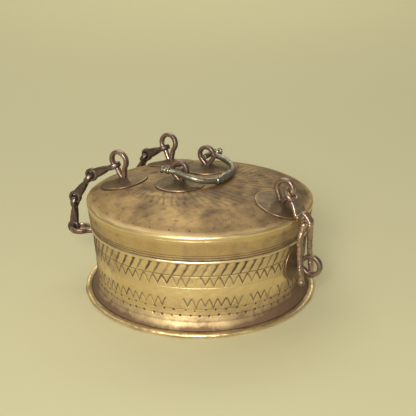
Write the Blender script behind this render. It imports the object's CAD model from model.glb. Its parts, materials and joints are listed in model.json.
import math

import bpy
import numpy as np
from mathutils import Matrix, Vector
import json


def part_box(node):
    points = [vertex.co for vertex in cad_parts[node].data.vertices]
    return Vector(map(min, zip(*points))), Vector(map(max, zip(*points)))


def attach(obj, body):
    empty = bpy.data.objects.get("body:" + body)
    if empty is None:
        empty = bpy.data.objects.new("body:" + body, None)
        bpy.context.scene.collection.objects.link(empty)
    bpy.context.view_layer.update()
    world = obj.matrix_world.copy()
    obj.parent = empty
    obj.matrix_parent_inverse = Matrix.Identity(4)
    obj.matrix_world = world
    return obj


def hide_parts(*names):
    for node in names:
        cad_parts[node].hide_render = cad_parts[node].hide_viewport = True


# The row's frame is in metres; every size below is in millimetres
mm = 0.001
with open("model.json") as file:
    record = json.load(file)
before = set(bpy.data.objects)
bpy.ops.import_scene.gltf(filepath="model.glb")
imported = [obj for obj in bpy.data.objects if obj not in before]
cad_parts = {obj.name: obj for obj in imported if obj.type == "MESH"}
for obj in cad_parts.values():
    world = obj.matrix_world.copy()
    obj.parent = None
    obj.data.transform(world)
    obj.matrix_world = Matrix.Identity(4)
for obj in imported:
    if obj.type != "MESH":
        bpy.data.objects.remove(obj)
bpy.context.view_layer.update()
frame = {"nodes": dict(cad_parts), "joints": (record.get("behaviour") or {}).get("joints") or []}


# Sizes read from the frame
def boxOf(node):
    low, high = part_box(node)
    return np.array(low) / mm, np.array(high) / mm


plateHigh = boxOf("base_plate")[1]
wallHigh = boxOf("drum_wall")[1]
neckLow, neckHigh = boxOf("neck_collar")
bandLow, bandHigh = boxOf("lid_band")
lidLow, lidHigh = boxOf("lid_top")
plateRadius, plateThickness = plateHigh[0], plateHigh[2]
ledgeZ = wallHigh[2]
bandZ, rimZ, rimRadius = bandLow[2], lidLow[2], lidHigh[0]
domeTop = lidHigh[2]
jointAt = {j["name"]: np.array(j["pos_m"]) / mm for j in frame["joints"]}

# Sizes that the frame's boxes don't give
wallTopRadius = 82.6
wallTaper = 2.6
footFlare = 4.3
footHeight = 12.0
sheet = 1.2
wallSheet = 1.6
edgeRadius = 1.6
edgeSlope = math.radians(26)
domeRise = 12.0
domePower = 3.2
eyeStrip = 2.7
eyeSwell = 0.3
eyeWidth = 3.8
print("frame read")


# Shapes: rows of points make a surface, and the surface makes a mesh
def makePiece(name, points, faces, body, nodes, look, marks=None):
    data = bpy.data.meshes.new(name)
    data.from_pydata((points * mm).tolist(), [], faces)
    data.shade_smooth()
    piece = bpy.data.objects.new(name, data)
    bpy.context.scene.collection.objects.link(piece)
    data.materials.append(look)
    for key, values in (marks or {}).items():
        layer = data.attributes.new(key, "FLOAT", "POINT")
        layer.data.foreach_set("value", values.astype(np.float32).ravel())
    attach(piece, body)
    if nodes:
        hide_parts(*nodes)
    return piece


# Quads between the rows and columns of a grid of points
def gridFaces(rows, columns, closedRows=False, closedColumns=True, start=0):
    lastRow = rows if closedRows else rows - 1
    lastColumn = columns if closedColumns else columns - 1
    r, c = np.meshgrid(np.arange(lastRow), np.arange(lastColumn), indexing="ij")
    r, c = r.ravel(), c.ravel()
    rr, cc = (r + 1) % rows, (c + 1) % columns
    quads = np.stack([r * columns + c, r * columns + cc, rr * columns + cc, rr * columns + c], -1)
    return quads + start


# Quads whose first or last row is one point lose the doubled corner
def closePoles(points, quads, poleRows, columns):
    keep = np.arange(len(points))
    for row in poleRows:
        keep[row * columns:(row + 1) * columns] = row * columns
    merged = keep[quads]
    used, back = np.unique(merged, return_inverse=True)
    back = back.reshape(merged.shape)
    faces = []
    for quad in back.tolist():
        corners = [v for i, v in enumerate(quad) if v != quad[i - 1]]
        if len(corners) > 2:
            faces.append(corners)
    return used, faces


# Six times the volume inside the quads, which is negative if they face inwards
def facesInward(points, quads):
    a, b, c, d = (points[quads[:, i]] for i in range(4))
    return np.sum(np.cross(b - a, c - a) * a) + np.sum(np.cross(c - a, d - a) * a) < 0


# A turned form: profile is a closed loop of [radius, height], or one that starts and ends on the axis.
# push moves each point along the profile's normal
def turned(profile, columns, push=None):
    profile = np.asarray(profile, float)
    onAxis = profile[:, 0] < 1e-6
    closed = not onAxis.any()
    angle = np.arange(columns) * 2 * math.pi / columns
    ahead = np.roll(profile, -1, 0) - np.roll(profile, 1, 0)
    if not closed:
        ahead[0], ahead[-1] = profile[1] - profile[0], profile[-1] - profile[-2]
    normal = np.stack([ahead[:, 1], -ahead[:, 0]], -1)
    normal /= np.linalg.norm(normal, axis=1, keepdims=True) + 1e-9
    area = np.sum(profile[:, 0] * np.roll(profile[:, 1], -1) - np.roll(profile[:, 0], -1) * profile[:, 1])
    if area < 0:
        normal = -normal
    moved = np.zeros((len(profile), columns)) if push is None else push(profile, angle)
    moved[onAxis] = 0
    radius = profile[:, :1] + normal[:, :1] * moved
    height = profile[:, 1:] + normal[:, 1:] * moved
    rings = np.stack([radius * np.cos(angle), radius * np.sin(angle), height + 0 * radius], -1)
    points = rings.reshape(-1, 3)
    quads = gridFaces(len(profile), columns, closedRows=closed)
    if facesInward(points, quads):
        quads = quads[:, ::-1]
    if closed:
        return points, quads.tolist(), np.arange(len(points))
    used, faces = closePoles(points, quads, np.flatnonzero(onAxis), columns)
    return points[used], faces, used


# Points along a line of corners at most step apart
def dense(corners, step):
    corners = np.asarray(corners, float)
    parts = []
    for a, b in zip(corners[:-1], corners[1:]):
        count = max(1, int(np.ceil(np.linalg.norm(b - a) / step)))
        parts.append(a + (b - a) * (np.arange(count) / count)[:, None])
    return np.vstack(parts + [corners[-1:]])


# A smooth curve through a few points, each corner rounded by halving its sides
def smoothPath(corners, rounds=4, closed=False):
    path = np.asarray(corners, float)
    for _ in range(rounds):
        if closed:
            nextOne = np.roll(path, -1, 0)
            path = np.stack([0.75 * path + 0.25 * nextOne, 0.25 * path + 0.75 * nextOne], 1).reshape(-1, 3)
        else:
            a, b = path[:-1], path[1:]
            inner = np.stack([0.75 * a + 0.25 * b, 0.25 * a + 0.75 * b], 1).reshape(-1, 3)
            path = np.vstack([path[:1], inner[1:-1], path[-1:]])
    return path


# A bar swept along a path. side points across it, width is its size that way and thickness the other way.
# squareness 1 is round and smaller is squarer
def swept(path, side, width, thickness, squareness=0.55, closed=False, around=18):
    path = np.asarray(path, float)
    count = len(path)
    ahead = np.roll(path, -1, 0) - np.roll(path, 1, 0)
    if not closed:
        ahead[0], ahead[-1] = path[1] - path[0], path[-1] - path[-2]
    ahead /= np.linalg.norm(ahead, axis=1, keepdims=True)
    side = np.broadcast_to(np.asarray(side, float), (count, 3))
    side = side - ahead * np.sum(side * ahead, 1, keepdims=True)
    side = side / np.linalg.norm(side, axis=1, keepdims=True)
    up = np.cross(ahead, side)
    turn = np.arange(around) * 2 * math.pi / around
    roundX = np.sign(np.cos(turn)) * np.abs(np.cos(turn)) ** squareness
    roundY = np.sign(np.sin(turn)) * np.abs(np.sin(turn)) ** squareness
    width = np.broadcast_to(width, (count,))[:, None, None] / 2
    thickness = np.broadcast_to(thickness, (count,))[:, None, None] / 2
    rings = path[:, None] + side[:, None] * width * roundX[:, None]
    rings = rings + up[:, None] * thickness * roundY[:, None]
    if closed:
        points = rings.reshape(-1, 3)
        quads = gridFaces(count, around, closedRows=True)
        if facesInward(points, quads):
            quads = quads[:, ::-1]
        return points, quads.tolist()
    reach = ahead[[0, -1]] * 0.3 * float(np.min(thickness))
    start = [path[0] - reach[0] + 0 * rings[0], path[0] + (rings[0] - path[0]) * 0.8 - reach[0]]
    finish = [path[-1] + (rings[-1] - path[-1]) * 0.8 + reach[1], path[-1] + reach[1] + 0 * rings[-1]]
    grid = np.concatenate([np.array(start), rings, np.array(finish)])
    points = grid.reshape(-1, 3)
    quads = gridFaces(len(grid), around)
    if facesInward(points, quads):
        quads = quads[:, ::-1]
    used, faces = closePoles(points, quads, [0, len(grid) - 1], around)
    return points[used], faces


# A ball or an egg with its own half sizes
def egg(centre, half, axes=np.eye(3), rings=12, around=18):
    lat = np.linspace(-math.pi / 2, math.pi / 2, rings)
    lon = np.arange(around) * 2 * math.pi / around
    unit = np.stack([np.cos(lat)[:, None] * np.cos(lon), np.cos(lat)[:, None] * np.sin(lon),
                     np.sin(lat)[:, None] + 0 * lon], -1)
    points = (np.asarray(centre) + (unit * half) @ np.asarray(axes)).reshape(-1, 3)
    quads = gridFaces(rings, around)
    if facesInward(points, quads):
        quads = quads[:, ::-1]
    used, faces = closePoles(points, quads, [0, rings - 1], around)
    return points[used], faces


# Several forms as one mesh
def joined(forms):
    points, faces, start = [], [], 0
    for shape, corners in forms:
        points.append(shape)
        faces += [[v + start for v in face] for face in corners]
        start += len(shape)
    return np.vstack(points), faces


# The forms of one forged piece grow together, and its surface gets small dents
def forge(piece, grain, dents=0.12, rounds=3, swell=0.0):
    skin = piece.modifiers.new("skin", "REMESH")
    skin.mode = "VOXEL"
    skin.voxel_size = grain * mm
    skin.use_smooth_shade = True
    ease = piece.modifiers.new("ease", "SMOOTH")
    ease.factor = 0.5
    ease.iterations = rounds
    lumps = bpy.data.textures.new(piece.name + "Lumps", "CLOUDS")
    lumps.noise_scale = 2.6 * mm
    beaten = piece.modifiers.new("beaten", "DISPLACE")
    beaten.texture = lumps
    beaten.texture_coords = "LOCAL"
    beaten.strength = dents * mm
    beaten.mid_level = 0.62
    grown = piece.modifiers.new("grown", "DISPLACE")
    grown.mid_level = 0.0
    grown.strength = swell * mm


# Where things stand on the lid and on the wall
def domeHeight(radius):
    return domeFoot + domeRise * (1 - (np.minimum(radius, domeRadius) / domeRadius) ** domePower)


def domeSlope(radius):
    return math.atan(domeRise * domePower / domeRadius * (radius / domeRadius) ** (domePower - 1))


def wallRadius(height):
    up = np.asarray(height, float) - plateThickness
    straight = wallTopRadius - wallTaper * (1 - (up - footHeight) / (ledgeZ - plateThickness - footHeight))
    flared = wallTopRadius - wallTaper + footFlare * ((footHeight - up) / footHeight) ** 2
    return np.where(up > footHeight, straight, flared)


domeRadius = rimRadius - edgeRadius + edgeRadius * math.sin(edgeSlope)
domeFoot = domeTop - domeRise


def onLid(azimuth, radius):
    place = Matrix.Translation((0, 0, float(domeHeight(radius))))
    return (Matrix.Rotation(math.radians(azimuth), 4, "Z") @ Matrix.Translation((radius, 0, 0)) @ place
            @ Matrix.Rotation(domeSlope(radius), 4, "Y"))


def onWall(azimuth, height):
    place = Matrix.Translation((float(wallRadius(height)), 0, height))
    return Matrix.Rotation(math.radians(azimuth), 4, "Z") @ place @ Matrix.Rotation(math.pi / 2, 4, "Y")


def spun(degrees):
    return Matrix.Rotation(math.radians(degrees), 4, "Z")


def moved(points, place):
    full = np.array(place)
    return points @ full[:3, :3].T + full[:3, 3]


def heading(azimuth):
    return np.array([math.cos(math.radians(azimuth)), math.sin(math.radians(azimuth)), 0.0])


# Chance that repeats round the drum: a few whole waves, at most about one high
def ripple(angle, height, waves, seed, fine=0.05):
    pick = np.random.default_rng(seed)
    total = np.zeros(np.broadcast(angle, height).shape)
    for _ in range(14):
        count = pick.integers(max(1, waves // 2), waves + 1)
        total += np.sin(angle * count + height * pick.normal(0, fine) * waves + pick.uniform(0, 6.28))
    return total / 5


# Materials: Value wraps a socket, so that shader arithmetic reads as arithmetic
class Value:
    def __init__(self, tree, socket):
        self.tree = tree
        self.socket = socket

    def maths(self, kind, first, second=None, clamp=False):
        node = self.tree.nodes.new("ShaderNodeMath")
        node.operation = kind
        node.use_clamp = clamp
        for place, item in zip(node.inputs, (first, second)):
            if isinstance(item, Value):
                self.tree.links.new(item.socket, place)
            elif item is not None:
                place.default_value = item
        return Value(self.tree, node.outputs[0])

    def __add__(self, other):
        return self.maths("ADD", self, other)

    __radd__ = __add__

    def __mul__(self, other):
        return self.maths("MULTIPLY", self, other)

    __rmul__ = __mul__

    def __sub__(self, other):
        return self.maths("SUBTRACT", self, other)

    def __rsub__(self, other):
        return self.maths("SUBTRACT", other, self)

    def __pow__(self, other):
        return self.maths("POWER", self, other)

    def clear(self):
        return self.maths("ADD", self, 0.0, clamp=True)

    # 0 below low, 1 above high and straight between
    def ramp(self, low, high):
        return self.maths("MULTIPLY", self - low, 1 / (high - low), clamp=True)


# Adds one node, wires or sets its inputs, and gives the output asked for
def addNode(tree, kind, output=0, settings=None, **inputs):
    node = tree.nodes.new(kind)
    for key, value in (settings or {}).items():
        setattr(node, key, value)
    for key, value in inputs.items():
        place = node.inputs[key]
        if isinstance(value, Value):
            tree.links.new(value.socket, place)
        else:
            place.default_value = value
    return Value(tree, node.outputs[output])


def mixColours(tree, amount, first, second):
    node = tree.nodes.new("ShaderNodeMix")
    node.data_type = "RGBA"
    tree.links.new(amount.socket, node.inputs[0])
    for place, item in ((node.inputs[6], first), (node.inputs[7], second)):
        if isinstance(item, Value):
            tree.links.new(item.socket, place)
        else:
            place.default_value = (*item, 1.0)
    return Value(tree, node.outputs[2])


def noise(tree, where, scale, detail=3.0, roughness=0.55):
    return addNode(tree, "ShaderNodeTexNoise", Vector=where, Scale=scale, Detail=detail, Roughness=roughness)


# Aged brass: worn is its bright colour, plain its usual one and stained the brown in its hollows.
# The attributes mark, stain and rub say where punched lines, dirt and wear lie
def agedBrass(name, worn, plain, stained, roughness=0.36, cloud=0.5, scratch=0.15, dents=0.25, size=1.0,
              grime=(0.035, 0.024, 0.016)):
    look = bpy.data.materials.new(name)
    look.use_nodes = True
    tree = look.node_tree
    shader = tree.nodes["Principled BSDF"]
    where = addNode(tree, "ShaderNodeTexCoord", output=3)
    mark = addNode(tree, "ShaderNodeAttribute", output=2, settings={"attribute_name": "mark"})
    stain = addNode(tree, "ShaderNodeAttribute", output=2, settings={"attribute_name": "stain"})
    rub = addNode(tree, "ShaderNodeAttribute", output=2, settings={"attribute_name": "rub"})
    broad = noise(tree, where, 38.0 / size, 4.0, 0.62)
    blotch = noise(tree, where, 130.0 / size, 5.0, 0.65)
    fine = noise(tree, where, 900.0 / size, 3.0, 0.6)
    clouds = broad.ramp(0.42, 0.66) * 0.6 + blotch.ramp(0.48, 0.7) * 0.55
    dirt = (clouds * cloud + stain + mark * 0.6 - rub * 0.8).clear()
    bright = (rub + fine.ramp(0.5, 0.8) * 0.25 + broad.ramp(0.6, 0.35) * 0.25).clear()
    body = mixColours(tree, bright, plain, worn)
    tarnished = mixColours(tree, dirt, body, stained)
    colour = mixColours(tree, (mark * 1.15 - fine * 0.3).clear(), tarnished, grime)
    dull = (dirt * 0.22 + fine * 0.12 + roughness - rub * 0.06 - 0.05).clear()
    stretch = addNode(tree, "ShaderNodeMapping", Vector=where, Scale=(900.0, 900.0, 120.0))
    scratches = noise(tree, stretch, 1.0, 2.0, 0.5)
    hammer = noise(tree, where, 210.0 / size, 1.0, 0.4)
    relief = scratches * scratch + fine * 0.2 + hammer * dents * 4.0
    bump = addNode(tree, "ShaderNodeBump", Height=relief, Strength=0.35, Distance=0.0004)
    tree.links.new(colour.socket, shader.inputs["Base Color"])
    tree.links.new(dull.socket, shader.inputs["Roughness"])
    tree.links.new(bump.socket, shader.inputs["Normal"])
    metal = (0.92 + rub * 0.08 - dirt * 0.45 - mark * 0.2).clear()
    tree.links.new(metal.socket, shader.inputs["Metallic"])
    return look


drumBrass = agedBrass("drumBrass", (0.92, 0.75, 0.42), (0.62, 0.46, 0.215), (0.17, 0.10, 0.05), 0.48, 0.75)
lidBrass = agedBrass("lidBrass", (0.56, 0.405, 0.19), (0.34, 0.22, 0.088), (0.11, 0.068, 0.036), 0.50, 0.8)
bandBrass = agedBrass("bandBrass", (0.80, 0.62, 0.33), (0.50, 0.35, 0.16), (0.15, 0.09, 0.045), 0.44, 0.75)
edgeBrass = agedBrass("edgeBrass", (0.90, 0.72, 0.42), (0.58, 0.41, 0.19), (0.10, 0.06, 0.03), 0.40, 0.6)
washerBrass = agedBrass("washerBrass", (0.44, 0.28, 0.165), (0.145, 0.10, 0.052),
                        (0.065, 0.045, 0.03), 0.40, 0.7)
eyeCopper = agedBrass("eyeCopper", (0.80, 0.58, 0.45), (0.25, 0.165, 0.12), (0.05, 0.035, 0.026),
                      0.30, 0.7, size=0.4)
darkBronze = agedBrass("darkBronze", (0.40, 0.29, 0.23), (0.13, 0.09, 0.07), (0.028, 0.022, 0.019),
                       0.32, 0.8, size=0.4)
haspBronze = agedBrass("haspBronze", (0.86, 0.66, 0.52), (0.36, 0.25, 0.17), (0.04, 0.03, 0.023),
                       0.30, 0.75, size=0.4)
handleBrass = agedBrass("handleBrass", (0.52, 0.48, 0.36), (0.23, 0.205, 0.14), (0.05, 0.042, 0.03),
                        0.32, 0.7, size=0.4)
print("materials made")


# Ornament: every mark is 1 along its middle and falls to 0 beside it
def stroke(distance, half):
    return np.exp(-(distance / half) ** 2)


# A row of punched marks round the drum. shape gets the distance along the row and the height from the
# row's own centre, and each mark is set a little off by chance
def punchedRow(angle, height, radius, count, level, shape, jitter=0.35, seed=1):
    pick = np.random.default_rng(seed)
    along = (angle / (2 * math.pi) * count) % count
    pitch = 2 * math.pi * radius / count
    offX, offY = pick.normal(0, jitter, count), pick.normal(0, jitter * 0.6, count)
    force = pick.uniform(0.45, 1.0, count)
    total = np.zeros(np.broadcast(angle, height).shape)
    for step in (-1, 0, 1):
        index = (np.floor(along).astype(int) + step) % count
        x = (along - np.floor(along) - step - 0.5) * pitch - offX[index]
        y = height - level - offY[index]
        total = np.maximum(total, shape(x, y) * force[index])
    return total


# A comma: a round head at the top and a tail that sweeps down to the left
def comma(x, y, high=9.0, lean=4.6):
    down = np.clip((high / 2 - y) / high, 0, 1)
    middle = lean * (0.5 - down ** 1.3)
    half = 0.4 + 0.95 * np.exp(-((down - 0.12) / 0.16) ** 2) + 0.65 * np.exp(-((down - 0.6) / 0.3) ** 2)
    ends = np.exp(-np.maximum(np.abs(y) - high / 2, 0) ** 2 / 0.1)
    return stroke((x - middle) * 0.85, half) * ends


def dot(x, y, size=0.8):
    return np.exp(-((x * x + y * y) / size ** 2) ** 2)


def barPair(x, y):
    bars = np.maximum(stroke(x - 0.75, 0.42), stroke(x + 0.75, 0.42))
    return bars * np.exp(-(y / 1.0) ** 4)


# One line that runs up and down between two levels, with rounded turns
def zigzag(angle, height, radius, count, low, high, half=0.5, seed=3, rest=0.0):
    pick = np.random.default_rng(seed)
    along = (angle / (2 * math.pi) * count) % count
    index = np.floor(along).astype(int) % count
    reach = 1 + pick.normal(0, 0.10, count)[index]
    swing = np.abs((along + pick.normal(0, 0.05, count)[index]) % 1 - 0.5) * 2
    swing = 1 - (1 - swing) ** 1.25
    pitch = 2 * math.pi * radius / count
    steep = 2 * (high - low) / pitch
    level = high - (high - low) * (1 - swing) * reach
    force = np.where(pick.uniform(0, 1, count) < rest, 0.25, pick.uniform(0.6, 1, count))[index]
    inside = np.exp(-np.maximum(height - high - 0.2, 0) ** 2 / 0.15)
    return stroke((height - level) / math.hypot(1, steep), half) * force * inside


# Drum: foot plate, wall in three courses, and the neck
def plateRough(profile, angle):
    outside = (profile[:, :1] > plateRadius - 3.6)
    worn = np.minimum(ripple(angle, profile[:, 1:] * 0.1, 90, 21), 0.6)
    lumps = np.minimum(ripple(angle, profile[:, 1:] * 0.1, 34, 22), 0.7)
    return (worn * 0.13 + lumps * 0.22 - 0.27) * outside


plateEdge = [[plateRadius - plateThickness / 2 + plateThickness / 2 * math.sin(math.radians(a)),
              plateThickness / 2 - plateThickness / 2 * math.cos(math.radians(a))] for a in range(0, 181, 12)]
footRadius = float(wallRadius(plateThickness))
plateTop = plateThickness - 0.5
plateProfile = np.vstack([dense([[0, 0], [plateRadius - 8, 0]], 12),
                          dense([[plateRadius - 7, 0], plateEdge[0]], 0.9), plateEdge[1:-1],
                          dense([plateEdge[-1], [footRadius - 1.5, plateTop]], 0.6),
                          dense([[footRadius - 3, plateTop], [0, plateTop]], 12)])
points, faces, used = turned(plateProfile, 720, plateRough)
radial = np.hypot(points[:, 0], points[:, 1])
turnOf = np.arctan2(points[:, 1], points[:, 0])
seam = stroke(radial - footRadius - 0.2, 1.0) * (points[:, 2] > 1)
edgeRub = np.clip(ripple(turnOf, points[:, 2] * 0.2, 24, 23) * 0.5 + 0.55, 0, 1)
edgeRub = edgeRub * (radial > plateRadius - 2.6)
seamDirt = stroke(radial - footRadius - 1.6, 1.6) * 0.35
makePiece("footPlate", points, faces, "drum", ["base_plate"], edgeBrass,
          {"mark": seam * 0.9, "rub": edgeRub, "stain": seamDirt})

lineZ = plateThickness + 40.2
dotsLineZ = plateThickness + 13.8
bandTopZ = ledgeZ - 2.6


# The front is worn by handling, and the sides and back keep more of their brown
def tarnish(angle):
    facing = np.cos(angle + math.radians(97))
    return np.clip(1.15 - 1.45 * facing, -0.25, 0.75) + 0.08 * ripple(angle, angle * 0, 8, 29)


def wallMarks(angle, height):
    radius = float(wallRadius(40.0))
    leaves = punchedRow(angle, height, radius, 76, (lineZ + bandTopZ) / 2 + 0.4, comma, 0.3, 31)
    upper = zigzag(angle, height, radius, 76, lineZ - 7.6, lineZ - 1.0, 0.55, 32, 0.08)
    lower = zigzag(angle, height, radius, 84, dotsLineZ + 2.2, dotsLineZ + 8.6, 0.5, 33, 0.22)
    firstDots = punchedRow(angle, height, radius, 68, dotsLineZ - 0.3, dot, 0.5, 34)
    secondDots = punchedRow(angle, height, radius, 74, dotsLineZ - 4.8, dot, 0.6, 35)
    lines = np.maximum(stroke(height - lineZ, 0.35), stroke(height - dotsLineZ - 0.4, 0.3) * 0.6)
    lines = np.maximum(lines, stroke(height - plateThickness - 9.4, 0.4) * 0.5)
    lines = np.maximum(lines, stroke(height - plateThickness - 5.2, 0.6) * 0.4)
    return leaves, np.maximum(upper, lower), np.maximum(firstDots, secondDots), lines


def wallPush(profile, angle):
    height = profile[:, 1:]
    outside = profile[:, :1] > wallRadius(height) - 0.4
    leaves, zigs, dots, lines = wallMarks(angle, height)
    deep = leaves * 0.42 + zigs * 0.40 + dots * 0.5 + lines * 0.28
    beaten = ripple(angle, height, 60, 36, 0.02) * 0.06 + ripple(angle, height, 13, 37, 0.01) * 0.10
    beaten = np.minimum(beaten, 0.12)
    return (beaten - deep) * outside


def wallShade(points):
    angle, height = np.arctan2(points[:, 1], points[:, 0]), points[:, 2]
    outside = np.hypot(points[:, 0], points[:, 1]) > wallRadius(height) - 1.0
    leaves, zigs, dots, lines = wallMarks(angle, height)
    mark = np.clip(leaves * 1.05 + zigs * 1.0 + dots * 1.3 + lines * 0.8, 0, 1)
    low = np.clip((plateThickness + 13 - height) / 11, 0, 1)
    patch = np.clip(ripple(angle, height, 9, 38, 0.03) * 0.5 + 0.2, 0, 1)
    stain = low * (0.35 + 0.4 * patch) + stroke(height - plateThickness, 2.2) * 0.7 + tarnish(angle) * outside
    rub = stroke(height - plateThickness - 27, 7) * 0.35 + stroke(height - ledgeZ + 1.2, 1.0) * 0.9
    return {"mark": mark * outside, "stain": stain, "rub": rub * outside}


# One course of the wall between two heights, closed by its own inner face
def wallCourse(name, low, high, step, columns, nodes):
    heights = np.linspace(high, low, int((high - low) / step))
    outer = np.stack([wallRadius(heights), heights], -1)
    inner = np.stack([wallRadius(heights[::-8]) - wallSheet, heights[::-8]], -1)
    points, faces, used = turned(np.vstack([outer, inner]), columns, wallPush)
    return makePiece(name, points, faces, "drum", nodes, drumBrass, wallShade(points))


wallCourse("wallUpper", plateThickness + 31, ledgeZ - 1.4, 0.34, 1300, ["drum_wall"])
wallCourse("wallLower", plateThickness - 0.4, plateThickness + 31, 0.42, 1200, [])

bead = 1.4
beadTurns = np.radians(np.arange(0, 360, 15))
beadRing = np.stack([np.cos(beadTurns), np.sin(beadTurns)], -1)
beadProfile = bead * beadRing + [wallTopRadius, ledgeZ - bead]
points, faces, used = turned(beadProfile, 720,
                             lambda p, a: np.minimum(ripple(a, p[:, 1:], 40, 41), 0.5) * 0.1 - 0.05)
makePiece("wallBead", points, faces, "drum", [], edgeBrass, {"rub": np.full(len(points), 0.75)})

neckTop, neckBottom = neckHigh[2], neckLow[2]
neckIn = wallTopRadius - wallSheet - 0.05
neckUp = bandHigh[0] - 1.9 - 1.2 - 2.0
neckProfile = np.vstack([dense([[neckIn - 0.5, neckBottom], [neckIn, ledgeZ]], 2),
                         dense([[neckIn, ledgeZ + 0.1], [neckUp, neckTop]], 0.8),
                         dense([[neckUp - 1.2, neckTop], [neckIn - 1.2, ledgeZ]], 2),
                         [[neckIn - 1.7, neckBottom]]])
points, faces, used = turned(neckProfile, 480, lambda p, a: ripple(a, p[:, 1:], 40, 42) * 0.05 - 0.06)
makePiece("neck", points, faces, "drum", ["neck_collar"], drumBrass,
          {"stain": np.full(len(points), 0.15)})
print("drum made")


# Lid: the band, the rounded edge and the beaten dome
def bandPush(profile, angle):
    height = profile[:, 1:]
    outside = profile[:, :1] > bandHigh[0] - 1.9 + 1.9 * (height - bandZ) / (rimZ - bandZ) - 0.6
    lines = np.maximum(stroke(height - bandZ - 1.6, 0.4), stroke(height - bandZ - 3.2, 0.4) * 0.8)
    facets = ripple(angle, height, 42, 51, 0.004) * 0.10 + ripple(angle, height, 12, 52, 0.0) * 0.12
    facets = np.minimum(facets, 0.18)
    return (facets - lines * 0.3) * outside


bandOuter = dense([[bandHigh[0], rimZ], [bandHigh[0] - 1.9, bandZ]], 0.4)
bandInner = dense([[bandHigh[0] - 1.9 - sheet, bandZ], [bandHigh[0] - sheet, rimZ]], 3)
points, faces, used = turned(np.vstack([bandOuter, bandInner]), 1080, bandPush)
height, turnOf = points[:, 2], np.arctan2(points[:, 1], points[:, 0])
bandLines = np.maximum(stroke(height - bandZ - 1.6, 0.45), stroke(height - bandZ - 3.2, 0.45) * 0.8)
patches = np.clip(ripple(turnOf, height, 26, 53, 0.01) * 0.55 - 0.05, 0, 1)
patches = patches * np.clip((rimZ - height) / 8, 0.15, 1)
bandStain = patches * 0.45 + stroke(height - bandZ, 1.2) * 0.5 + tarnish(turnOf)
bandRub = np.clip((height - rimZ + 3.5) / 4, 0, 1) * 0.6
makePiece("lidBand", points, faces, "lid", ["lid_band"], bandBrass,
          {"mark": bandLines * 0.8, "stain": bandStain, "rub": bandRub})


def lidMarks(radius, angle):
    arcs = (stroke(radius - 78.6, 0.3) + stroke(radius - 77.2, 0.3)) * 0.45
    total = arcs * np.clip(ripple(angle, radius * 0, 6, 61) * 0.6 + 0.6, 0, 1)
    for ring, count, seed, kind in ((60.0, 33, 62, barPair), (70.8, 40, 63, barPair), (80.0, 36, 64, dot)):
        total = np.maximum(total, punchedRow(angle, radius, ring, count, ring, kind, 0.3, seed) * 0.8)
    return total


# Feathery strokes that sweep round the middle of the lid
def feathers(radius, angle):
    total = np.zeros(np.broadcast(radius, angle).shape)
    for ring, count, high, seed in ((50.0, 58, 9.0, 65), (40.0, 46, 9.0, 66), (31.0, 36, 8.0, 67)):
        total = np.maximum(total, punchedRow(angle, radius, ring, count, ring,
                                             lambda x, y: comma(x, y, high, 5.0), 0.5, seed))
    return total * 0.6


def lidPush(profile, angle):
    radius = profile[:, :1]
    outside = profile[:, 1:] > domeHeight(radius) - 0.5
    deep = lidMarks(radius, angle) * 0.3 + feathers(radius, angle) * 0.16
    beaten = ripple(angle, radius, 24, 68, 0.012) * 0.09 + ripple(angle, radius, 7, 69, 0.008) * 0.12
    return (np.minimum(beaten, 0.15) - deep) * outside * np.clip(radius / 12, 0, 1)


def lidShade(points):
    radius, angle = np.hypot(points[:, 0], points[:, 1]), np.arctan2(points[:, 1], points[:, 0])
    outside = points[:, 2] > domeHeight(radius) - 0.8
    mark = lidMarks(radius, angle) * 0.9 + feathers(radius, angle) * 0.8
    patch = np.clip(ripple(angle, radius, 8, 70, 0.02) * 0.6, 0, 1)
    grey = np.clip(ripple(angle, radius, 15, 71, 0.03) * 0.6 + 0.35, 0, 1)
    grey = grey * np.clip(1 - np.abs(radius - 46) / 22, 0, 1)
    toTheSide = np.clip(points[:, 0] / 160, 0, 0.4)
    stain = patch * 0.22 + (grey * 0.4 + toTheSide) * outside
    rub = np.clip((radius - rimRadius + 5) / 4, 0, 1) * 0.95
    return {"mark": np.clip(mark, 0, 1) * outside, "stain": stain, "rub": rub * outside}


# One ring of the dome between two radii, with its own underside
def domeRing(name, inside, outside, step, columns, nodes):
    radii = np.linspace(inside, outside, int((outside - inside) / step))
    upper = np.stack([radii, domeHeight(radii)], -1)
    lower = np.stack([radii[::-6], domeHeight(radii[::-6]) - sheet], -1)
    lower[-1, 0] = inside
    points, faces, used = turned(np.vstack([upper, lower]), columns, lidPush)
    return makePiece(name, points, faces, "lid", nodes, lidBrass, lidShade(points))


domeRing("lidMiddle", 0.0, 26.0, 0.6, 360, ["lid_top"])
domeRing("lidInner", 26.0, 56.0, 0.45, 1100, [])
domeRing("lidOuter", 56.0, domeRadius, 0.42, 1200, [])
edgeZ = domeFoot - edgeRadius * math.cos(edgeSlope)
turns = np.radians(np.arange(90 - math.degrees(edgeSlope), -1, -8))
edgeOuter = edgeRadius * np.stack([np.cos(turns), np.sin(turns)], -1) + [rimRadius - edgeRadius, edgeZ]
edgeProfile = np.vstack([edgeOuter, dense([[rimRadius, edgeZ - 0.3], [rimRadius - 0.15, rimZ]], 0.5),
                         [[rimRadius - sheet, rimZ], [rimRadius - sheet, edgeZ],
                          [domeRadius - 1.5, domeFoot - sheet], [domeRadius - 1.5, domeFoot - 0.1]]])
points, faces, used = turned(edgeProfile, 900,
                             lambda p, a: np.minimum(ripple(a, p[:, 1:], 30, 72, 0), 0.5) * 0.1 - 0.06)
makePiece("lidEdge", points, faces, "lid", [], bandBrass,
          {"rub": np.full(len(points), 0.8)})
print("lid made")


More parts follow.
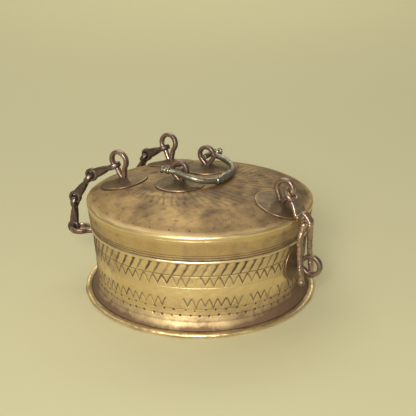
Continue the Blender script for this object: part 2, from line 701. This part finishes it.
# Washers: thin dished discs, each beaten by hand
washerSheet = 1.0
washerLift = 2.6
shank = 2.3
washers = [("left_lid_washer", "lid"), ("back_lid_washer", "lid"), ("hasp_lid_washer", "lid"),
           ("handle_front_washer", "lid"), ("handle_back_washer", "lid"),
           ("left_wall_washer", "drum"), ("back_wall_washer", "drum"), ("staple_washer", "drum")]


def cadPoints(node):
    data = frame["nodes"][node].data
    points = np.empty(len(data.vertices) * 3)
    data.vertices.foreach_get("co", points)
    return points.reshape(-1, 3) / mm


# A washer's axis is the direction in which its CAD solid is thinnest
def washerPlace(node):
    points = cadPoints(node)
    centre = (points.min(0) + points.max(0)) / 2
    _, axes = np.linalg.eigh(np.cov((points - points.mean(0)).T))
    axis = axes[:, 0]
    outward = centre * [1, 1, 0] if "wall" in node or "staple" in node else np.array([0, 0, 1.0])
    if axis @ outward < 0:
        axis = -axis
    level = points @ axis
    across = points - np.outer(level, axis)
    radius = np.linalg.norm(across - across.mean(0), axis=1).max()
    return across.mean(0), axis, level.min(), radius


for order, (node, body) in enumerate(washers):
    across, axis, low, radius = washerPlace(node)
    radii = np.linspace(shank, radius - 0.15, 34)
    rise = washerLift * ((radius - radii) / (radius - shank)) ** 1.5
    rimDrop = 0.25 * np.clip((radii - radius + 2) / 2, 0, 1)
    top = np.stack([radii, rise + washerSheet - rimDrop], -1)
    under = np.stack([radii[::-3], rise[::-3] + 0.05], -1)

    def beaten(profile, angle, seed=80 + order):
        radius = profile[:, :1]
        dents = ripple(angle, radius, 9, seed, 0.05) * 0.10 + ripple(angle, radius, 22, seed + 9, 0.05) * 0.05
        return np.minimum(dents, 0.12) - 0.08

    points, faces, used = turned(np.vstack([top, under]), 160, beaten)
    distance = np.hypot(points[:, 0], points[:, 1])
    turnOf = np.arctan2(points[:, 1], points[:, 0])
    rim = np.clip(ripple(turnOf, distance * 0, 7, 95 + order) * 0.5 + 0.7, 0, 1)
    rim = rim * stroke(distance - radius + 0.2, 0.7)
    dirt = stroke(distance - shank - 1, 2.5) * 0.5
    place = Vector(axis).to_track_quat("Z", "Y").to_matrix()
    points = points @ np.array(place).T + across + axis * low
    makePiece(node.replace("_", " ").title().replace(" ", ""), points, faces, body, [node], washerBrass,
              {"rub": rim, "stain": dirt})
print("washers made")


# Split pins: one strip, from a clenched leg up round the ring and down to the other leg
def splitPin(radius, stand, sheetBelow, washerTop, leg=7.0):
    mid = radius - eyeStrip / 2 - eyeSwell
    deep = sheetBelow + 0.35 + 0.6
    ring = [[mid * math.sin(math.radians(a)), 0, stand - mid * math.cos(math.radians(a))]
            for a in range(42, 319, 6)]
    low = [[leg, 0, -deep], [3.2, 0, -deep], [1.25, 0, -deep + 0.9], [1.2, 0, washerTop],
           [1.9, 0, washerTop + 1.6], [0.42 * radius, 0, stand - 0.93 * mid]]
    high = [[-x, y, z] for x, y, z in reversed(low)]
    path = smoothPath(low + ring + high, 2)
    thick = np.where(path[:, 2] < washerTop, 2.1, eyeStrip)
    thick = np.where(path[:, 2] < -sheetBelow, 1.2, thick)
    return swept(path, [0, 1, 0], eyeWidth, thick, 0.5, around=18)


hingeAzimuth = 146.0
leftEye = (173.0, 58.5)
backEye = (115.0, 57.0)
haspEye = (-34.0, 68.8)
handleLine = heading(62.0)
handleMiddle = np.array([-4.7, 8.1, 0])
handleSpan = 43.3
handleEyeStand = 11.0
eyes = [
    {"node": "left_lid_eye", "body": "lid", "place": onLid(*leftEye) @ spun(hingeAzimuth - leftEye[0]),
     "ring": (8.5, 16.4, sheet, 3.2)},
    {"node": "back_lid_eye", "body": "lid", "place": onLid(*backEye) @ spun(hingeAzimuth - backEye[0]),
     "ring": (8.5, 16.4, sheet, 3.2)},
    {"node": "hasp_lid_eye", "body": "lid", "place": onLid(*haspEye), "ring": (8.0, 12.6, sheet, 3.0)},
    {"node": "left_wall_eye", "body": "drum",
     "place": onWall(168.0, 38.0) @ spun(90), "ring": (8.5, 16.2, wallSheet, 3.6)},
    {"node": "back_wall_eye", "body": "drum",
     "place": onWall(124.0, 38.0) @ spun(90), "ring": (8.5, 16.2, wallSheet, 3.6)},
    {"node": "staple_eye", "body": "drum", "place": onWall(-34.0, 38.3), "ring": (8.5, 14.0, wallSheet, 3.6)},
]
for node, sign in (("handle_front_eye", -1), ("handle_back_eye", 1)):
    spot = handleMiddle + sign * handleSpan / 2 * handleLine
    ground = float(domeHeight(np.hypot(spot[0], spot[1])))
    place = Matrix.Translation((spot[0], spot[1], ground)) @ spun(62.0 + 90.0)
    ring = (7.6, domeTop + handleEyeStand - ground, sheet, 3.2)
    eyes.append({"node": node, "body": "lid", "place": place, "ring": ring})
for eye in eyes:
    points, faces = splitPin(*eye["ring"])
    name = eye["node"].replace("_", " ").title().replace(" ", "")
    piece = makePiece(name, moved(points, eye["place"]), faces, eye["body"], [eye["node"]],
                      eyeCopper, None)
    forge(piece, 0.3, 0.2, 2, eyeSwell)
print("eyes made")


# Chain links: two rings a quarter turn apart, joined by a flattened middle
linkRadius = 5.2
linkStrip = 2.7
linkWidth = 4.0
linkLength = 25.8


def ringForm(centre, radius, strip, width, flat, across):
    turn = np.arange(0, 360, 10) * math.pi / 180
    mid = radius - strip / 2
    path = centre + mid * (np.cos(turn)[:, None] * flat + np.sin(turn)[:, None] * across)
    return swept(path, np.cross(flat, across), width, strip, 0.7, closed=True, around=14)


def linkForm():
    x, y, z = np.eye(3)
    near = ringForm(np.array([linkRadius - linkStrip / 2, 0, 0]), linkRadius, linkStrip, linkWidth, x, y)
    far = ringForm(np.array([linkLength, 0, 0]), linkRadius, linkStrip, linkWidth, x, z)
    along = np.linspace(linkRadius * 2 - linkStrip * 0.85, linkLength - linkRadius + linkStrip * 0.4, 14)
    part = (along - along[0]) / (along[-1] - along[0])
    path = np.stack([along, 0 * along, 0 * along], -1)
    wide = 7.2 * (1 - part) + 3.2 * part
    high = 3.2 * (1 - part) + 7.6 * part + 0.9 * np.sin(part * math.pi)
    waist = swept(path, y, wide, high, 0.75, around=20)
    return joined([near, far, waist])


def linkPlace(points, start, end):
    ahead = (end - start) / np.linalg.norm(end - start)
    up = np.array([0, 0, 1.0])
    side = np.cross(up, ahead)
    side /= np.linalg.norm(side)
    return start + points @ np.array([ahead, side, np.cross(ahead, side)])


wallHold = {}
for side, azimuth in (("left", 168.0), ("back", 124.0)):
    ringCentre = heading(azimuth) * (float(wallRadius(38.0)) + 16.2) + np.array([0, 0, 38.0])
    wallHold[side] = ringCentre + heading(hingeAzimuth) * (8.5 - eyeStrip / 2)
for side in ("left", "back"):
    stops = [jointAt[f"{side}_link_{n}_turn"] for n in (1, 2, 3)] + [wallHold[side]]
    for number in (1, 2, 3):
        shape, faces = linkForm()
        points = linkPlace(shape, stops[number - 1], stops[number])
        node = f"{side}_link_{number}"
        piece = makePiece(f"{side}Link{number}", points, faces, node, [node],
                          darkBronze, None)
        forge(piece, 0.32, 0.4, 2, 0.12)
print("chains made")


# Hasp: in its own plane the first axis runs outward and the second is up
haspOut = heading(-34.0)
haspSide = np.cross(haspOut, [0, 0, 1.0])


def inHasp(points):
    points = np.asarray(points, float)
    return np.outer(points[:, 0], haspOut) + np.outer(points[:, 1], haspSide) + np.outer(points[:, 2], [0, 0, 1.0])


def planeOf(point):
    return np.array([point @ haspOut, 0.0, point[2]])


haspHold = planeOf(jointAt["hasp_swing"])
barAt = planeOf(jointAt["fork_swing"])
lean = math.radians(-42)
leanWay = np.array([math.cos(lean), 0, math.sin(lean)])
haspRing = ringForm(haspHold, 6.6, 3.6, 3.0, leanWay, np.array([0, 1.0, 0]))
crest = np.array([rimRadius + 2.8, 0, rimZ + 6.2])
startAt = haspHold + leanWay * 3.6
knuckle = 3.9

# The strap leaves its eye on the near side, widens to a plate and goes on as a narrow tongue
strapPath = smoothPath([startAt + [0, 4.9, 0], startAt + [2.6, 4.6, -3],
                        crest + [-2.5, 3.8, -1.9], crest + [-0.6, 3.8, -0.3]], 3)
share = np.linspace(0, 1, len(strapPath))
strap = swept(strapPath, [0, 1, 0], np.interp(share, [0, 0.3, 0.8, 0.96, 1], [6.0, 8.2, 12.2, 12.8, 12.4]),
              np.interp(share, [0, 0.3, 1], [3.2, 2.6, 2.4]), 0.42, around=26)
tonguePath = smoothPath([crest + [-5.5, 0.6, -3.0], crest + [-2, 0.2, -0.9], crest, crest + [2.6, 0, -2.4],
                         barAt + [knuckle - 1.0, 0, 1.4]], 3)
tongue = swept(tonguePath, [0, 1, 0], 5.9, 2.5, 0.5, around=20)
rollTurns = np.radians(np.arange(20, 371, 10))
rollMid = 3.0
roll = swept(barAt + rollMid * np.stack([np.cos(rollTurns), 0 * rollTurns, np.sin(rollTurns)], -1), [0, 1, 0],
             5.9, 1.8, 0.4, around=18)
shape, faces = joined([haspRing, strap, tongue, roll])
piece = makePiece("haspStrap", inHasp(shape), faces, "hasp_link", ["hasp_link"],
                  haspBronze, None)
forge(piece, 0.32, 0.35, 1, 0.25)

barPath = np.array([barAt + [0, y, 0] for y in np.linspace(-5.2, 5.2, 9)])
forms = [swept(barPath, [1.0, 0, 0], 3.6, 3.6, 1.0, around=16)]
armLength = 41.0
for sign in (-1, 1):
    middles = [[0, 5.4, 1.6], [-0.6, 6.0, -3], [-1.2, 7.6, -8], [-1.2, 8.0, -13], [-0.9, 7.9, -24], [0.4, 8.0, -33],
               [1.2, 7.9, -38], [0.9, 7.9, -armLength]]
    path = smoothPath([barAt + np.array([x, sign * y, z]) for x, y, z in middles], 3)
    share = np.linspace(0, 1, len(path))
    wide = np.interp(share, [0, 0.14, 0.22, 0.4, 0.46, 0.7, 0.82, 0.88, 1], [3.8, 4.2, 4.9, 4.7, 4.1, 3.9, 4.2, 3.4, 3.6])
    notch = 0.5 * np.abs(np.sin((share - 0.42) * 58)) * ((share > 0.42) & (share < 0.72))
    forms.append(swept(path, [0, 1, 0], wide - notch, 2.9 - notch * 0.7, 0.6, around=18))
    for drop, size in ((-13.4, 1.75), (-29.5, 1.7), (-32.0, 1.55)):
        at = barAt + np.array([np.interp(-drop, [8, 24, 33], [-1.2, -0.9, 0.4]), sign * 8.0, drop])
        forms.append(egg(at, [size, 2.5, 0.9], around=16))
    forms.append(egg(barAt + np.array([1.3, sign * 7.8, -armLength - 1.2]), [2.4, 2.3, 2.3]))
shape, faces = joined(forms)
piece = makePiece("haspFork", inHasp(shape), faces, "hasp_fork", ["hasp_fork"],
                  haspBronze, None)
forge(piece, 0.3, 0.45, 1, 0.4)
print("hasp made")


# Handle: in its own plane the first axis runs to the far bar, the second along the hinge line
handlePivot = jointAt["handle_swing"]
handleReach = 28.0
gripTop = 3.0
lie = math.asin((handlePivot[2] - domeTop - gripTop - 0.3) / handleReach)
awayAxis = heading(62.0 - 90.0) * math.cos(lie) - np.array([0, 0, math.sin(lie)])
raisedAxis = np.cross(awayAxis, handleLine)
halfSpan = handleSpan / 2 + eyeWidth / 2 + 0.3 + 2.0


def inHandle(points):
    points = np.asarray(points, float)
    return handlePivot + points @ np.array([awayAxis, handleLine, raisedAxis])


bendRadius = 21.0
frontLeg, backLeg = halfSpan, halfSpan + 3.0


# Half of the rail, from the grip's middle round its bend to the pivot
def halfRail(leg, sign):
    turns = np.radians(np.arange(0, 91, 6))
    line = [[handleReach, y, 0] for y in np.arange(0, leg - bendRadius, 1.2)]
    line += [[handleReach - bendRadius + bendRadius * math.cos(t), leg - bendRadius + bendRadius * math.sin(t), 0]
             for t in turns]
    line += [[x, leg, 0] for x in np.arange(handleReach - bendRadius - 1.2, -1, -1.2)]
    return np.array(line) * [1, sign, 1]


# The point on the rail at a distance from the grip's middle, and the rail's heading there
def onRail(along):
    line = halfRail(frontLeg, -1) if along < 0 else halfRail(backLeg, 1)
    steps = np.append(0, np.cumsum(np.linalg.norm(np.diff(line, axis=0), axis=1)))
    at = np.array([np.interp(abs(along), steps, line[:, i]) for i in range(3)])
    further = np.array([np.interp(abs(along) + 0.5, steps, line[:, i]) for i in range(3)])
    return at, (further - at) / np.linalg.norm(further - at)


rail = np.vstack([halfRail(frontLeg, -1)[::-1], halfRail(backLeg, 1)[1:]])
steps = np.append(0, np.cumsum(np.linalg.norm(np.diff(rail, axis=0), axis=1)))
fromGrip = np.abs(steps - steps[len(halfRail(frontLeg, -1)) - 1] + 3.2)
thick = 4.4 - 0.3 * np.clip(fromGrip / 40, 0, 1) + 0.8 * np.exp(-(fromGrip / 11.0) ** 6)
forms = [swept(rail, [0, 0, 1.0], thick, thick, 0.95, around=18)]
for along, half in ((-12.6, 1.9), (-8.0, 2.5), (-3.0, 2.2), (1.7, 2.2), (6.4, 1.9)):
    at, way = onRail(along)
    forms.append(egg(at, [half, 3.15, 3.15], np.array([way, np.cross([0, 0, 1.0], way), [0, 0, 1.0]])))
forms.append(egg([handleReach - 0.1, -3.2, 2.3], [2.1, 4.8, 1.5]))
for leg, sign, stub in ((frontLeg, -1, [-11.0, 2.0, -1.6]), (backLeg, 1, [3.6, 8.0, 1.0])):
    pin = np.array([[0, sign * y, 0] for y in np.linspace(leg + 0.5, handleSpan / 2 - eyeWidth / 2 - 2.4, 8)])
    forms.append(swept(pin, [0, 0, 1.0], 3.9, 3.9, 1.0, around=16))
    base = np.array([0, sign * leg, 0])
    reach = np.array(stub) * [1, sign, 1]
    forms.append(swept(base + reach * np.linspace(0, 1, 6)[:, None], [0, 0, 1.0], 3.4, 3.4, 1.0, around=16))
    way = reach / np.linalg.norm(reach)
    axes = np.array([way, np.cross([0, 0, 1.0], way), [0, 0, 1.0]])
    forms.append(egg(base + reach, [1.6, 2.8, 2.8], axes))
    forms.append(egg(base + reach * 0.6, [1.5, 2.7, 2.7], axes))
shape, faces = joined(forms)
piece = makePiece("swingHandle", inHandle(shape), faces, "handle", ["handle"],
                  handleBrass, None)
forge(piece, 0.3, 0.3, 1, 0.22)
print("handle made")


# Stage: a pale khaki sweep under and behind the box
def khaki():
    look = bpy.data.materials.new("khaki")
    look.use_nodes = True
    shader = look.node_tree.nodes["Principled BSDF"]
    shader.inputs["Base Color"].default_value = (0.50, 0.46, 0.265, 1)
    shader.inputs["Roughness"].default_value = 0.9
    return look


sweepLine = [[y, 0.0] for y in (-2500, 1500)] + [[1500 + 1200 * math.sin(a), 1200 - 1200 * math.cos(a)]
                                               for a in np.radians(np.arange(5, 91, 5))] + [[2700, 4000]]
sweepPoints = np.array([[x, y, z] for y, z in sweepLine for x in (-4000, 4000)], float)
data = bpy.data.meshes.new("floor")
sweepFaces = [[2 * i, 2 * i + 1, 2 * i + 3, 2 * i + 2] for i in range(len(sweepLine) - 1)]
data.from_pydata((sweepPoints * mm).tolist(), [], sweepFaces)
data.shade_smooth()
floor = bpy.data.objects.new("floor", data)
bpy.context.scene.collection.objects.link(floor)
data.materials.append(khaki())


# Camera, as measured in the photograph: the box's foot and rim give its height and lens
eyeAt = Vector((0, -0.5537, 0.2711))
yaw, dip = math.radians(0.63), math.radians(20.65)
cameraData = bpy.data.cameras.new("camera")
cameraData.lens = 66.8
cameraData.sensor_width = 36.0
camera = bpy.data.objects.new("camera", cameraData)
camera.location = eyeAt
lookWay = Vector((math.sin(yaw) * math.cos(dip), math.cos(yaw) * math.cos(dip), -math.sin(dip)))
camera.rotation_euler = lookWay.to_track_quat("-Z", "Y").to_euler()
bpy.context.scene.collection.objects.link(camera)
bpy.context.scene.camera = camera


# Light: a broad soft one above and behind, a weaker one from the front left, and an even sky
def softLight(name, place, aim, size, power, colour):
    lampData = bpy.data.lights.new(name, "AREA")
    lampData.shape = "RECTANGLE"
    lampData.size, lampData.size_y = size
    lampData.energy = power
    lampData.color = colour
    lamp = bpy.data.objects.new(name, lampData)
    lamp.location = Vector(place)
    lamp.rotation_euler = (Vector(aim) - lamp.location).to_track_quat("-Z", "Y").to_euler()
    bpy.context.scene.collection.objects.link(lamp)


softLight("topLight", (-0.5, 0.5, 1.8), (0, 0, 0.05), (1.6, 1.2), 9, (1.0, 0.98, 0.94))
softLight("frontLight", (-0.25, -1.5, 0.8), (0, 0, 0.05), (0.7, 0.5), 36, (1.0, 0.98, 0.95))
softLight("backLight", (0, 1.9, 2.0), (0, 2.3, 0), (2.6, 1.0), 34, (1.0, 0.99, 0.95))
world = bpy.data.worlds.new("sky")
world.use_nodes = True
world.node_tree.nodes["Background"].inputs["Color"].default_value = (0.95, 0.95, 0.93, 1)
world.node_tree.nodes["Background"].inputs["Strength"].default_value = 0.23
bpy.context.scene.world = world
bpy.context.scene.view_settings.view_transform = "Standard"

# The shown object keeps to the CAD model's box
print("scene made")
